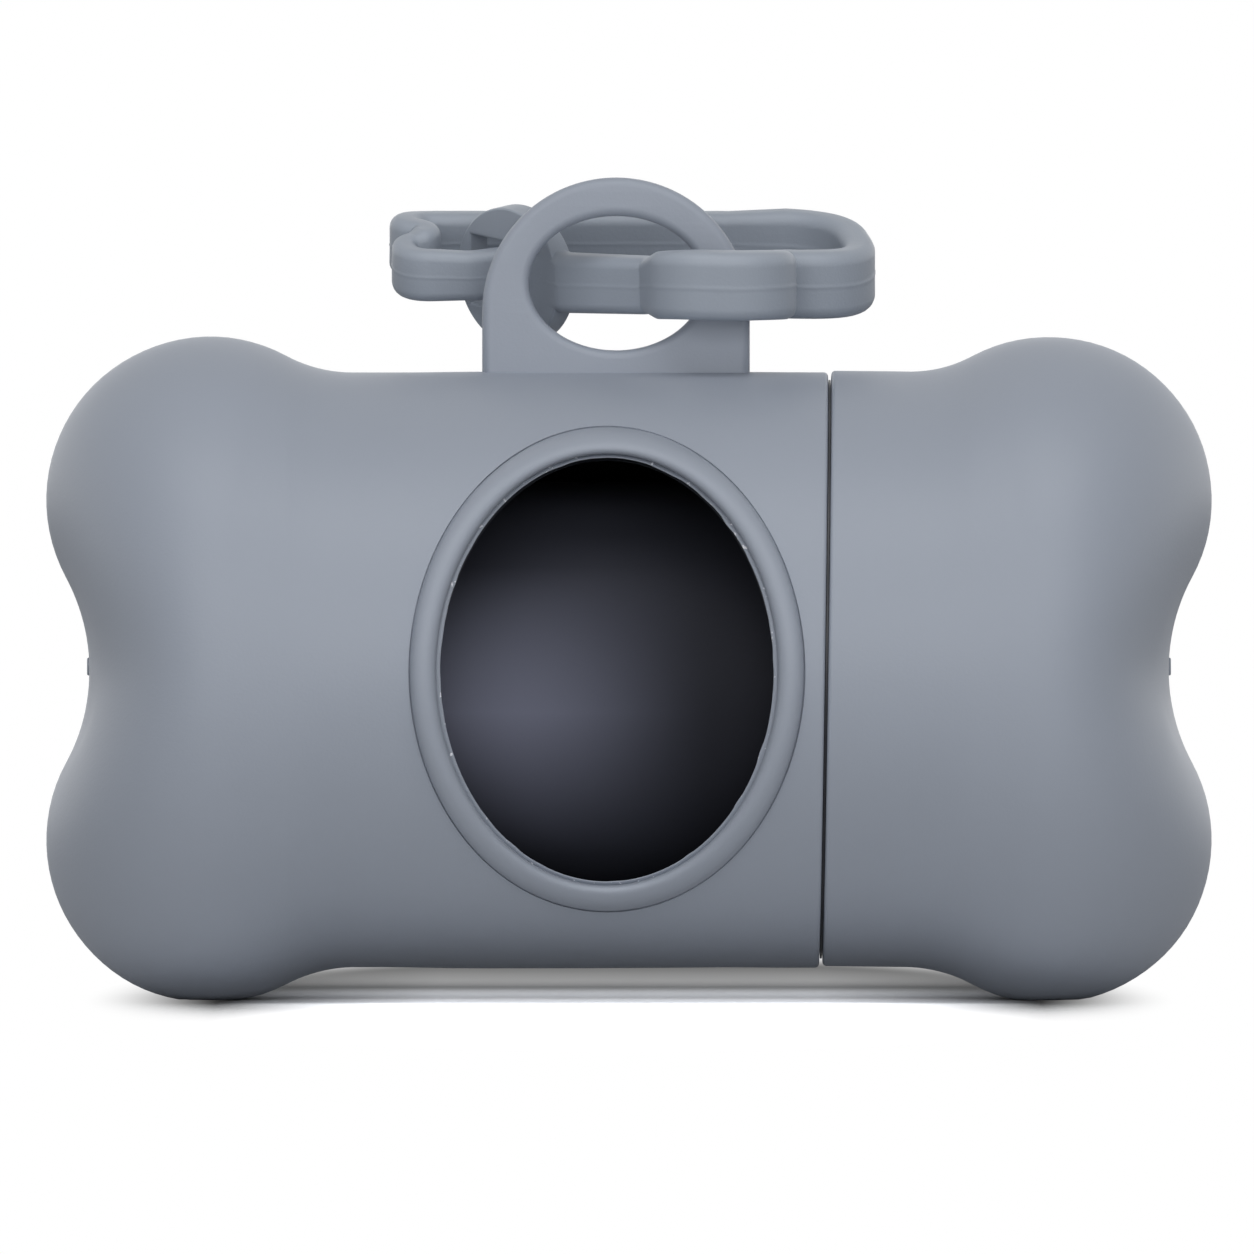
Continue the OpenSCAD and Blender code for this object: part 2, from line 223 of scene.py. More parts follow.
def boneOutlines(mouth):
    # outline of an end in the front view and in the top view, from the mouth to the end's middle
    b = bone
    m = moulding
    lobeX = b["length"] / 2 - b["lobeRadius"]
    lobeZ = b["lobeHalfHeight"] - b["lobeRadius"]
    filletZ = b["waistRadius"] + b["filletRadius"]
    reach = b["lobeRadius"] + b["filletRadius"]
    filletX = lobeX - sqrt(reach ** 2 - (filletZ - lobeZ) ** 2)
    hollowX = lobeX + sqrt((b["lobeRadius"] + b["hollowRadius"]) ** 2 - lobeZ ** 2)
    filletTurn = atan2(filletZ - lobeZ, filletX - lobeX)
    hollowTurn = atan2(-lobeZ, hollowX - lobeX)
    top = [(mouth + (filletX - mouth) * i / m["waistRings"], b["waistRadius"])
           for i in range(m["waistRings"] + 1)]
    for i in range(1, m["filletRings"] + 1):
        turn = 1.5 * pi + (filletTurn - pi / 2) * i / m["filletRings"]
        top.append((filletX + b["filletRadius"] * cos(turn), filletZ + b["filletRadius"] * sin(turn)))
    for i in range(1, m["lobeRings"] + 1):
        turn = filletTurn + (hollowTurn - filletTurn) * i / m["lobeRings"]
        top.append((lobeX + b["lobeRadius"] * cos(turn), lobeZ + b["lobeRadius"] * sin(turn)))
    for i in range(1, m["hollowRings"] + 1):
        turn = hollowTurn + pi - hollowTurn * i / m["hollowRings"]
        top.append((hollowX + b["hollowRadius"] * cos(turn), b["hollowRadius"] * sin(turn)))
    straight = m["waistRings"] + m["filletRings"]
    rounded = m["lobeRings"] + m["hollowRings"]
    start = hollowX - b["hollowRadius"] - b["endRound"]
    power = 2 / b["squareness"]
    front = [(top[i][0], b["waistRadius"]) for i in range(straight + 1)]
    for i in range(1, rounded + 1):
        turn = pi / 2 * i / rounded
        front.append((start + b["endRound"] * sin(turn) ** power,
                      b["waistRadius"] * max(cos(turn), 0) ** power))
    return top, front


def lobeShare(turn):
    # 1 straight above and below the axis, 0 at front and back, with a soft valley there
    soft = moulding["valleySoftness"]
    return (sqrt(cos(turn) ** 2 + soft ** 2) - soft) / (sqrt(1 + soft ** 2) - soft)


def mouldEnd(name, mouth, side, rise):
    # a ring is extruded ring by ring, closed at the end, and each ring is moulded to its outline
    m = moulding
    top, front = boneOutlines(mouth)
    clearSelection()
    bpy.ops.mesh.primitive_circle_add(vertices=m["segments"], radius=bone["waistRadius"] * mm,
                                      rotation=(0, pi / 2, 0))
    obj = named(name)
    settle(obj)
    bpy.ops.object.mode_set(mode="EDIT")
    bpy.ops.mesh.select_all(action="SELECT")
    for _ in range(len(top) - 1):
        bpy.ops.mesh.extrude_region_move(TRANSFORM_OT_translate={"value": (mm, 0, 0)})
    bpy.ops.mesh.merge(type="CENTER")
    bpy.ops.object.mode_set(mode="OBJECT")
    for v in obj.data.vertices:
        ring = round(v.co.x / mm)
        turn = atan2(v.co.y, v.co.z)
        share = lobeShare(turn)
        reach = top[ring][0] * share + front[ring][0] * (1 - share)
        r = top[ring][1] * share + front[ring][1] * (1 - share)
        near = max(0, 1 - abs(top[ring][0] - mouth) / m["slantReach"])
        height = r * cos(turn)
        spot = Vector((side * reach, r * sin(turn), height))
        swell = noise.noise(spot / m["sinkSize"] + Vector((7.3 * side, 1.7, 4.1)))
        spot += Vector((0, sin(turn), cos(turn))) * swell * m["sinkDepth"] * (1 - near)
        spot.x += height * m["seamSlant"] * near
        spot.z += rise * near
        v.co = spot * mm + Vector((0, 0, axisZ))
        v.co.z = max(v.co.z, 0)
    faceOutwards(obj)
    applyModifier(obj, "SOLIDIFY", thickness=bone["wall"] * mm, offset=-1, use_even_offset=True)
    mouthX = side * mouth

    def onRim(p):
        r = sqrt(p.y ** 2 + (p.z - axisZ - rise * mm) ** 2) / mm
        x = p.x / mm - (p.z - axisZ - rise * mm) / mm * m["seamSlant"]
        return abs(r - bone["waistRadius"]) < 0.05 and abs(x - mouthX) < 0.02

    bevelEdges(obj, onRim, m["seamRound"] * mm, 5)
    return obj


def ovalCutter(width, height, centre, depth):
    # oval prism along Y
    clearSelection()
    bpy.ops.mesh.primitive_cylinder_add(vertices=192, radius=0.5, depth=1, rotation=(pi / 2, 0, 0))
    obj = named("ovalCutter")
    settle(obj)
    obj.scale = (width * mm, depth * mm, height * mm)
    obj.location = centre
    settle(obj)
    return obj


# ---- window ----
window = {
    "centre": -1.6,
    "lift": 0.3,
    "width": 24.2,
    "height": 30.8,
    "step": 0.25,
    "beadWidth": 1.9,
    "beadProud": 0.95,
    "beadRoot": 0.5,
    "grooveWidth": 0.22,   # fine groove round the bead
    "grooveDepth": 0.15,
    "lipWidth": 0.45,      # thin moulding lip inside the bead
    "lipHeight": 0.12,
    "lipReach": 0.28,
    "lipDrop": 0.5,
    "lipFlash": 0.12,
    "flashRate": 9,
}


def ovalRing(name, middle, halfSection, flash=0):
    # a torus whose tube is laid along an oval round the window, over the round waist;
    # halfSection gives the tube's own place across the oval and out from the waist
    w = window
    clearSelection()
    bpy.ops.mesh.primitive_torus_add(major_segments=240, minor_segments=28, major_radius=1,
                                     minor_radius=0.2, rotation=(pi / 2, 0, 0))
    obj = named(name)
    settle(obj)
    halfWidth = w["width"] / 2 + middle
    halfHeight = w["height"] / 2 + middle
    for v in obj.data.vertices:
        around = atan2(v.co.z, v.co.x)
        turn = atan2(-v.co.y, sqrt(v.co.x ** 2 + v.co.z ** 2) - 1)
        across, depth = halfSection(turn)
        if cos(turn) < 0:
            ragged = noise.noise(Vector((w["flashRate"] * cos(around), w["flashRate"] * sin(around), 3)))
            across -= flash * max(0, ragged)
        out = Vector((halfHeight * cos(around), halfWidth * sin(around))).normalized()
        x = halfWidth * cos(around) + out.x * across
        z = w["lift"] + halfHeight * sin(around) + out.y * across
        y = -sqrt((bone["waistRadius"] + depth) ** 2 - z ** 2)
        v.co = Vector(((w["centre"] + x) * mm, y * mm, axisZ + z * mm))
    faceOutwards(obj)
    return obj


def makeBead():
    w = window
    half = w["beadWidth"] / 2

    def section(turn):
        return half * cos(turn), sin(turn) * (w["beadProud"] if sin(turn) > 0 else w["beadRoot"])

    bead = ovalRing("windowBead", w["step"] + half, section)
    shadeSmooth(bead, 60)
    return bead


def cutGroove(shell):
    w = window

    def section(turn):
        return w["grooveWidth"] / 2 * cos(turn), w["grooveDepth"] * sin(turn)

    combine(shell, ovalRing("grooveCutter", w["step"] + w["beadWidth"], section))


def makeLip():
    # the thin lip that the mould leaves between the bead and the liner, with a ragged edge
    w = window
    half = w["lipWidth"] / 2

    def section(turn):
        return half * cos(turn), -w["lipDrop"] + w["lipHeight"] * sin(turn)

    lip = ovalRing("windowLip", w["step"] + half - w["lipReach"], section, w["lipFlash"])
    shadeSmooth(lip, 60)
    return lip


# ---- lug ----
lug = {
    "centre": -0.95,
    "width": 19.5,
    "thickness": 3.0,
    "top": 35.9,          # heights are above the bone's axis
    "root": 20.4,
    "holeWidth": 12.7,
    "holeHeight": 9.8,
    "holeMiddle": 28.2,
    "edgeRound": 0.65,
    "roundSteps": 5,
    "archSteps": 72,
    "holeSteps": 120,
}


def makeLug():
    # the arch and its hole are drawn short of their edges by the rounding, which then fills them out
    g = lug
    e = g["edgeRound"]
    radius = g["width"] / 2 - e
    middle = g["top"] - g["width"] / 2
    arch = []
    for i in range(g["archSteps"] + 1):
        turn = pi * i / g["archSteps"]
        arch.append((-radius * cos(turn), middle + radius * sin(turn)))
    hole = []
    for i in range(g["holeSteps"]):
        turn = 2 * pi * i / g["holeSteps"]
        spot = Vector((g["holeWidth"] / 2 * cos(turn), g["holeHeight"] / 2 * sin(turn)))
        out = Vector((g["holeHeight"] * cos(turn), g["holeWidth"] * sin(turn))).normalized()
        hole.append((spot.x + e * out.x, g["holeMiddle"] + spot.y + e * out.y))
    outline = [(-radius, g["root"]), *arch, (radius, g["root"])]
    obj = turnToMesh(drawCurve("hangingLug", outline, hole, fill_mode="BOTH",
                               extrude=(g["thickness"] / 2 - e) * mm, bevel_depth=e * mm,
                               bevel_resolution=g["roundSteps"]))
    obj.rotation_euler = (pi / 2, 0, 0)
    obj.location = (g["centre"] * mm, 0, axisZ)
    settle(obj)
    faceOutwards(obj)
    shadeSmooth(obj, 40)
    keepFlatsFlat(obj)
    return obj


# ---- register step in the seam ----
seamRing = {"width": 0.14, "inner": 19.8, "outer": 21.1}


def makeSeamRing():
    # closes the seam's gap to the light
    r = seamRing
    discs = []
    for name, radius, depth in (("seamStep", r["outer"], r["width"]), ("stepBore", r["inner"], 1)):
        clearSelection()
        bpy.ops.mesh.primitive_cylinder_add(vertices=moulding["segments"], radius=radius * mm,
                                            depth=depth * mm, rotation=(0, pi / 2, 0))
        discs.append(named(name))
        settle(discs[-1])
    obj, bore = discs
    combine(obj, bore)
    for v in obj.data.vertices:
        v.co.x += bone["seam"] * mm + v.co.z * moulding["seamSlant"]
        v.co.z += axisZ + moulding["capRise"] / 2 * mm
    shadeSmooth(obj, 40)
    return obj


gateMark = {"diameter": 1.3, "proud": 0.16, "lift": 0.25}


def makeGateMark(name, side):
    # nub left by the moulding gate in the middle of an end
    g = gateMark
    top, _ = boneOutlines(bone["seam"])
    clearSelection()
    bpy.ops.mesh.primitive_cylinder_add(vertices=32, radius=g["diameter"] / 2 * mm, depth=mm,
                                        location=(side * (top[-1][0] + g["proud"] - 0.5) * mm, 0,
                                                  axisZ + g["lift"] * mm),
                                        rotation=(0, pi / 2, 0))
    obj = named(name)
    settle(obj)
    applyModifier(obj, "BEVEL", width=0.1 * mm, segments=3, limit_method="ANGLE")
    shadeSmooth(obj)
    return obj


# ---- thread in the cap's skirt ----
thread = {
    "lead": 8.0,
    "starts": 2,
    "footWidth": 1.6,
    "tipWidth": 1.0,
    "tipRadius": 19.2,
    "sink": 0.3,
    "plainStart": 1.0,
    "late": 60.0,          # degrees by which the skirt's ridges start after the neck's
    "turn": 243.0,
}


def boreSkirt(cap):
    # the cap's wall makes room for the thread
    m = moulding
    for v in cap.data.vertices:
        out = Vector((v.co.y, v.co.z - axisZ)) / mm
        if v.co.x < m["skirtEnd"] * mm and m["skirtCore"] < out.length < m["skirtRadius"]:
            out = out.normalized() * m["skirtRadius"]
            v.co = Vector((v.co.x, out.x * mm, axisZ + out.y * mm))


def makeThreadRidge(name, firstTurn):
    # the ridge's section is turned round the bone's axis by a Screw modifier
    t = thread
    foot = moulding["skirtRadius"] + t["sink"]
    clearSelection()
    bpy.ops.mesh.primitive_plane_add(size=1)
    obj = named(name)
    corners = [(-t["footWidth"] / 2, foot), (t["footWidth"] / 2, foot),
               (-t["tipWidth"] / 2, t["tipRadius"]), (t["tipWidth"] / 2, t["tipRadius"])]
    for v, (x, r) in zip(obj.data.vertices, corners):
        v.co = Vector((x * mm, r * mm, 0))
    applyModifier(obj, "SCREW", axis="X", angle=radians(t["turn"]),
                  screw_offset=t["lead"] * t["turn"] / 360 * mm, steps=72, render_steps=72,
                  use_merge_vertices=False)
    start = (bone["seam"] + t["plainStart"] + t["footWidth"] / 2 - t["lead"] / t["starts"] / 2
             + t["lead"] * t["late"] / 360)
    obj.rotation_euler = (radians(firstTurn), 0, 0)
    obj.location = (start * mm, 0, axisZ)
    settle(obj)
    fillHoles(obj)
    faceOutwards(obj)
    shadeSmooth(obj, 30)
    return obj


# ---- strap ----
strap = {
    "thickness": 2.3,
    "height": 4.3,
    "lobeHeight": 5.1,
    "tongueThickness": 1.8,
    "tongueHeight": 3.6,
    "loopHeight": 3.8,
    "rootHeight": 5.2,     # where the strand joins the plate
    "rootThickness": 1.5,
    "rootReach": 2.9,
    "frontLevel": -0.5,
    "backRise": 3.1,
    "droop": 0.2,
    "cornerRound": 0.85,
    "partingLine": 0.035,
    "waveSize": 5.0,       # soft rubber isn't quite even
    "waveDepth": 0.12,
    "yaw": 35.0,
    "tilt": 13.0,
    "lift": 0.4,
    "back": 1.0,
    "plateDiameter": 10.2,
    "plateRim": 1.3,
    "plateYaw": 44.0,
    "plateThickness": 1.9,
    "plateReach": 4.4,
    "plateSink": 1.25,
    "slotGap": 0.8,
    "cornerSteps": 12,
}


def strapCorners():
    # right, back, corner radius, height and thickness of the band, seen from above in mm
    s = strap
    yaw = radians(s["yaw"])
    shank = (s["height"], s["thickness"])
    lobe = (s["lobeHeight"], s["thickness"])
    loop = (s["loopHeight"], s["tongueThickness"])
    tongue = (s["tongueHeight"], s["tongueThickness"])
    plateYaw = radians(s["plateYaw"])
    near = s["plateReach"] * Vector((-cos(yaw), sin(yaw)))
    root = near + s["rootReach"] * Vector((-cos(plateYaw), sin(plateYaw)))
    return [
        (*root, 0, s["rootHeight"], s["rootThickness"]),
        (*near, 2, *shank),
        (2.7, -2.7 * tan(yaw), 1.5, *shank),
        (4.2, -6.4, 3.2, *lobe),
        (12.9, -6.6, 3.6, *lobe),
        (11.2, 0.9, 1.4, *lobe),
        (18.8, 1.2, 4.2, *lobe),
        (16.4, 11.6, 5.5, *lobe),
        (8, 12.2, 9, *shank),
        (-15.3, 13.1, 2.2, *shank),
        (-15.5, 10.2, 1.2, *shank),
        (-12.9, 8.7, 1, *shank),
        (-15.5, 7.2, 1.2, *loop),
        (-15.3, 4.4, 2, *loop),
        (-10.6, 4.4, 3, *tongue),
        (-3.9, 6.6, 0, *tongue),
    ]


def smoothStep(t):
    t = max(0, min(1, t))
    return t * t * (3 - 2 * t)


def strapRise(spot):
    # the soft band leaves its plane: level in front, rising to the back, drooping at the right
    s = strap
    level = s["frontLevel"] + s["backRise"] * smoothStep((spot.y - 1) / 12)
    droop = s["droop"] * smoothStep((spot.x - 6) / 10) * smoothStep(spot.y / 12)
    tilt = radians(s["tilt"])
    return (level - droop) / cos(tilt) - spot.y * tan(tilt)


def strapLine():
    # middle line of the band with its corners rounded, as (place, height, thickness)
    corners = strapCorners()
    steps = strap["cornerSteps"]
    line = [(Vector(corners[0][:2]), *corners[0][3:])]
    for before, corner, after in zip(corners, corners[1:], corners[2:]):
        c = Vector(corner[:2])
        a = (Vector(before[:2]) - c).normalized()
        b = (Vector(after[:2]) - c).normalized()
        half = acos(max(-1, min(1, a.dot(b)))) / 2
        centre = c + (a + b).normalized() * corner[2] / sin(half)
        first = c + a * corner[2] / tan(half) - centre
        last = c + b * corner[2] / tan(half) - centre
        start = atan2(first.y, first.x)
        sweep = (atan2(last.y, last.x) - start + 3 * pi) % (2 * pi) - pi
        for i in range(steps + 1):
            turn = start + sweep * i / steps
            line.append((centre + corner[2] * Vector((cos(turn), sin(turn))), *corner[3:]))
    line.append((Vector(corners[-1][:2]), *corners[-1][3:]))
    return line


def bandSection():
    # rounded oblong with a fine parting line halfway up, as a closed curve
    s = strap
    w = s["thickness"] / 2
    h = s["height"] / 2
    r = s["cornerRound"]
    quarter = [(w - r + r * cos(pi / 2 * i / 6), h - r + r * sin(pi / 2 * i / 6)) for i in range(7)]
    right = [(w + s["partingLine"], 0), (w, 0.1), (w, 0.3)] + quarter
    upper = right + [(-x, z) for x, z in reversed(right)]
    spots = upper + [(-x, -z) for x, z in upper[1:-1]]
    return drawCurve("bandSection", spots)


def makeBand():
    # the section is carried along the line, then each ring gets its rise, height and thickness
    s = strap
    line = strapLine()
    section = bandSection()
    obj = turnToMesh(drawCurve("strapBand", [spot for spot, *_ in line], closed=False, fill_mode="NONE",
                               bevel_mode="OBJECT", bevel_object=section))
    bpy.data.objects.remove(section)
    sides = len(obj.data.vertices) // len(line)
    for i, v in enumerate(obj.data.vertices):
        spot, height, thickness = line[i // sides]
        flat = Vector((v.co.x, v.co.y)) / mm - spot
        place = Vector((*(spot + flat * thickness / s["thickness"]),
                        v.co.z / mm * height / s["height"] + strapRise(spot)))
        wave = Vector([noise.noise(place / s["waveSize"] + Vector((0, 0, 7 * axis)))
                       for axis in range(3)])
        v.co = (place + wave * s["waveDepth"]) * mm
    fillHoles(obj)
    faceOutwards(obj)
    return obj


def makePlate():
    s = strap
    radius = s["plateDiameter"] / 2 * mm
    clearSelection()
    bpy.ops.mesh.primitive_cylinder_add(vertices=96, radius=radius, depth=s["plateThickness"] * mm,
                                        location=(-radius, 0, 0), rotation=(pi / 2, 0, 0))
    obj = named("strapPlate")
    settle(obj)
    clearSelection()
    slotEnd = s["plateDiameter"] - s["plateRim"]
    slotWidth = slotEnd - s["rootReach"] - 0.5
    bpy.ops.mesh.primitive_cube_add(size=1, location=((slotWidth / 2 - slotEnd) * mm, 0, 0))
    slotCutter = named("slotCutter")
    slotCutter.scale = (slotWidth * mm, 5 * mm, (s["tongueHeight"] + 2 * s["slotGap"]) * mm)
    settle(slotCutter)
    combine(obj, slotCutter)
    applyModifier(obj, "BEVEL", width=0.4 * mm, segments=4, limit_method="ANGLE",
                  angle_limit=radians(50))
    yaw = Matrix.Rotation(radians(-s["yaw"]), 4, "Z")
    turn = Matrix.Rotation(radians(s["yaw"] - s["plateYaw"]), 4, "Z")
    obj.matrix_world = yaw @ Matrix.Translation((-s["plateReach"] * mm, 0, -s["plateSink"] * mm)) @ turn
    settle(obj)
    faceOutwards(obj)
    return obj


def makeStrap():
    s = strap
    band = makeBand()
    combine(band, makePlate(), "UNION")
    place = Vector((lug["centre"] * mm, s["back"] * mm, axisZ + (lug["holeMiddle"] + s["lift"]) * mm))
    band.matrix_world = Matrix.Translation(place) @ Matrix.Rotation(radians(s["tilt"]), 4, "X")
    band.name = "hangingStrap"
    settle(band)
    shadeSmooth(band, 40)
    keepFlatsFlat(band)
    return band


# ---- roll of bags ----
roll = {
    "radius": 15.5,
    "bore": 7.55,
    "length": 60.0,
    "drop": 1.7,
    "filmStep": 0.12,      # loose end of the outermost bag
    "crease": 0.06,
    "rings": 60,
}


def makeRoll():
    # wound film: the outline shrinks through one turn and steps back out at the loose end
    r = roll
    clearSelection()
    bpy.ops.mesh.primitive_circle_add(vertices=180, radius=r["radius"] * mm, rotation=(0, pi / 2, 0))
    obj = named("bagRoll")
    settle(obj)
    bpy.ops.object.mode_set(mode="EDIT")
    bpy.ops.mesh.select_all(action="SELECT")
    for _ in range(r["rings"]):
        bpy.ops.mesh.extrude_region_move(
            TRANSFORM_OT_translate={"value": (r["length"] / r["rings"] * mm, 0, 0)})
    bpy.ops.object.mode_set(mode="OBJECT")
    middle = Vector((-r["length"] / 2 * mm, 0, axisZ - r["drop"] * mm))
    for v in obj.data.vertices:
        turn = atan2(-v.co.y, v.co.z)
        share = (turn / (2 * pi) + 0.31) % 1
        crease = noise.noise(Vector((v.co.x / mm / 16, 3 * cos(turn), 3 * sin(turn))))
        radius = (r["radius"] - r["filmStep"] * share - r["crease"] * (1 + crease)) * mm
        v.co = middle + Vector((v.co.x, -radius * sin(turn), radius * cos(turn)))
    faceOutwards(obj)
    applyModifier(obj, "SOLIDIFY", thickness=(r["radius"] - r["bore"] - 0.3) * mm, offset=-1)
    shadeSmooth(obj, 40)
    return obj


print("moulding the case")
caseShell = mouldEnd("caseShell", -(bone["seam"] - bone["seamGap"] / 2), -1, 0)
windowHole = Vector((window["centre"] * mm, -18 * mm, axisZ + window["lift"] * mm))
combine(caseShell, ovalCutter(window["width"] + 2 * window["step"],
                              window["height"] + 2 * window["step"], windowHole, 30))
cutGroove(caseShell)
shadeSmooth(caseShell, 40)
windowBead = makeBead()
windowLip = makeLip()
hangingLug = makeLug()
shellGate = makeGateMark("shellGate", -1)
seamStep = makeSeamRing()

print("moulding the cap")
capShell = mouldEnd("capShell", bone["seam"] + bone["seamGap"] / 2, 1, moulding["capRise"])
boreSkirt(capShell)
shadeSmooth(capShell, 40)
ridges = [makeThreadRidge("capThread%d" % (i + 1), thread["late"] + 360 / thread["starts"] * i)
          for i in range(thread["starts"])]
capGate = makeGateMark("capGate", 1)

print("moulding the strap")
hangingStrap = makeStrap()

print("winding the roll")
bagRoll = makeRoll()

# ---- materials ----
colours = {
    "case": (0.303, 0.335, 0.395),
    "strap": (0.315, 0.352, 0.41),
    "liner": (0.030, 0.032, 0.040),
    "film": (0.018, 0.019, 0.025),
    # the film's lighter colour, a painted highlight
    "filmPaintedHighlight": (0.132, 0.139, 0.186),
    "paper": (0.42, 0.31, 0.20),
    # near-white colour of the painted highlights on the window lip
    "torn": (0.85, 0.86, 0.9),
}

# painted highlight on the roll's film: where along the roll and at what height its colour is lit up, and
# the film's own shine
filmShineAndPaintedLight = {
    "shine": 0.05,
    "clearX": 6.5,       # mm along the roll
    "fullX": -8.5,
    "bandHeight": -2.8,  # mm above the bone's axis
    "bandReach": 10.5,
    "outside": 0.12,
}

# where on the lip the painted highlights fall
glintFlecks = {"scale": 2000, "detail": 2, "edge": (0.65, 0.7)}


def addNode(tree, kind, inputs=(), **settings):
    # each input takes a value or another node's output
    node = tree.nodes.new("ShaderNode" + kind)
    for key, value in settings.items():
        setattr(node, key, value)
    for socket, value in dict(inputs).items():
        if isinstance(value, bpy.types.NodeSocket):
            tree.links.new(value, node.inputs[socket])
        else:
            node.inputs[socket].default_value = value
    return node


def addMath(tree, operation, *values):
    return addNode(tree, "Math", enumerate(values), operation=operation).outputs[0]


def addRamp(tree, value, start, end, first=0, last=1, kind="SMOOTHSTEP"):
    node = addNode(tree, "MapRange", {"Value": value, "From Min": start, "From Max": end,
                                      "To Min": first, "To Max": last}, interpolation_type=kind)
    return node.outputs["Result"]


def addBlend(tree, share, first, last):
    return addNode(tree, "Mix", {0: share, 2: first, 3: last}, data_type="FLOAT").outputs[0]


def addPlaces(tree, kind="Object"):
    place = addNode(tree, "TexCoord").outputs[kind]
    return place, addNode(tree, "SeparateXYZ", {0: place}).outputs


def mouldedSkinGroup():
    # fine grain, faint flow marks and an uneven sheen, for every moulded piece
    group = bpy.data.node_groups.new("mouldedSkin", "ShaderNodeTree")
    ui = group.interface
    ui.new_socket("Colour", in_out="INPUT", socket_type="NodeSocketColor")
    for name, value in (("Mottle", 0.05), ("Roughness", 0.5), ("Sheen Change", 0.06),
                        ("Grain Scale", 4000), ("Grain Depth", 0.1), ("Flow Scale", 60)):
        socket = ui.new_socket(name, in_out="INPUT", socket_type="NodeSocketFloat")
        socket.default_value = value
    ui.new_socket("Colour", in_out="OUTPUT", socket_type="NodeSocketColor")
    ui.new_socket("Roughness", in_out="OUTPUT", socket_type="NodeSocketFloat")
    ui.new_socket("Normal", in_out="OUTPUT", socket_type="NodeSocketVector")
    given = group.nodes.new("NodeGroupInput").outputs
    place = addNode(group, "TexCoord").outputs["Object"]
    grain = addNode(group, "TexNoise", {"Vector": place, "Scale": given["Grain Scale"],
                                        "Detail": 3, "Roughness": 0.6})
    flow = addNode(group, "TexNoise", {"Vector": place, "Scale": given["Flow Scale"], "Detail": 4})
    shift = addMath(group, "SUBTRACT", flow.outputs["Fac"], 0.5)
    mottle = addMath(group, "MULTIPLY_ADD", shift, given["Mottle"], 1)
    tint = addNode(group, "VectorMath", {0: given["Colour"], "Scale": mottle}, operation="SCALE")
    sheen = addMath(group, "MULTIPLY_ADD", shift, given["Sheen Change"], given["Roughness"])
    bump = addNode(group, "Bump", {"Strength": given["Grain Depth"], "Distance": 0.00005,
                                   "Height": grain.outputs["Fac"]})
    result = group.nodes.new("NodeGroupOutput")
    group.links.new(tint.outputs[0], result.inputs["Colour"])
    group.links.new(sheen, result.inputs["Roughness"])
    group.links.new(bump.outputs["Normal"], result.inputs["Normal"])
    return group


skinGroup = mouldedSkinGroup()


def skinMaterial(name, colour, **values):
    material = bpy.data.materials.new(name)
    material.use_nodes = True
    tree = material.node_tree
    group = addNode(tree, "Group", node_tree=skinGroup)
    group.inputs["Colour"].default_value = (*colour, 1)
    for key, value in values.items():
        socket = "".join(" " + c if c.isupper() else c for c in key).title()
        group.inputs[socket].default_value = value
    shader = tree.nodes["Principled BSDF"]
    tree.links.new(group.outputs["Colour"], shader.inputs["Base Color"])
    tree.links.new(group.outputs["Roughness"], shader.inputs["Roughness"])
    tree.links.new(group.outputs["Normal"], shader.inputs["Normal"])
    return material


def blendColours(tree, share, plain, special):
    mix = addNode(tree, "Mix", {0: share, 6: (*plain, 1), 7: (*special, 1)}, data_type="RGBA")
    tree.links.new(mix.outputs[2], tree.nodes["Group"].inputs["Colour"])


def paintLightOnFilm(material):
    # painted highlight: the film's colour is lighter towards the shell's closed end, in a band along the
    # roll a little below the axis, a pool of light painted into it; the shine level is the film's own
    h = filmShineAndPaintedLight
    tree = material.node_tree
    tree.nodes["Principled BSDF"].inputs["Specular IOR Level"].default_value = h["shine"]
    _, parts = addPlaces(tree)
    along = addRamp(tree, parts["X"], h["clearX"] * mm, h["fullX"] * mm)
    off = addMath(tree, "SUBTRACT", parts["Z"], axisZ + h["bandHeight"] * mm)
    away = addMath(tree, "ABSOLUTE", off)
    inBand = addRamp(tree, away, h["bandReach"] * mm, 0, h["outside"], 1, "LINEAR")
    blendColours(tree, addMath(tree, "MULTIPLY", along, inBand), colours["film"], colours["filmPaintedHighlight"])


def paintLipGlints(material):
    # painted highlight: near-white flecks of colour on the lip's thin flash, where it would catch the
    # light
    tree = material.node_tree
    place = addNode(tree, "TexCoord").outputs["Object"]
    torn = addNode(tree, "TexNoise", {"Vector": place, "Scale": glintFlecks["scale"],
                                      "Detail": glintFlecks["detail"]})
    share = addRamp(tree, torn.outputs["Fac"], *glintFlecks["edge"], kind="LINEAR")
    blendColours(tree, share, colours["case"], colours["torn"])


def dress(obj, material):
    obj.data.materials.clear()
    obj.data.materials.append(material)


print("making the materials")
casePlastic = skinMaterial("casePlastic", colours["case"], roughness=0.5, sheenChange=0.14,
                           mottle=0.07, grainDepth=0.25)
glintedLipPlastic = skinMaterial("glintedLipPlastic", colours["case"])
paintLipGlints(glintedLipPlastic)
strapRubber = skinMaterial("strapRubber", colours["strap"], roughness=0.46, sheenChange=0.14,
                           grainDepth=0.3)
linerPlastic = skinMaterial("linerPlastic", colours["liner"], roughness=0.42, grainDepth=0.1)
bagFilm = skinMaterial("bagFilm", colours["film"], roughness=0.55, grainDepth=0.1)
# paints the highlight into the film's colour
paintLightOnFilm(bagFilm)
corePaper = skinMaterial("corePaper", colours["paper"], roughness=0.85, grainDepth=0.5,
                         grainScale=1500, mottle=0.2)

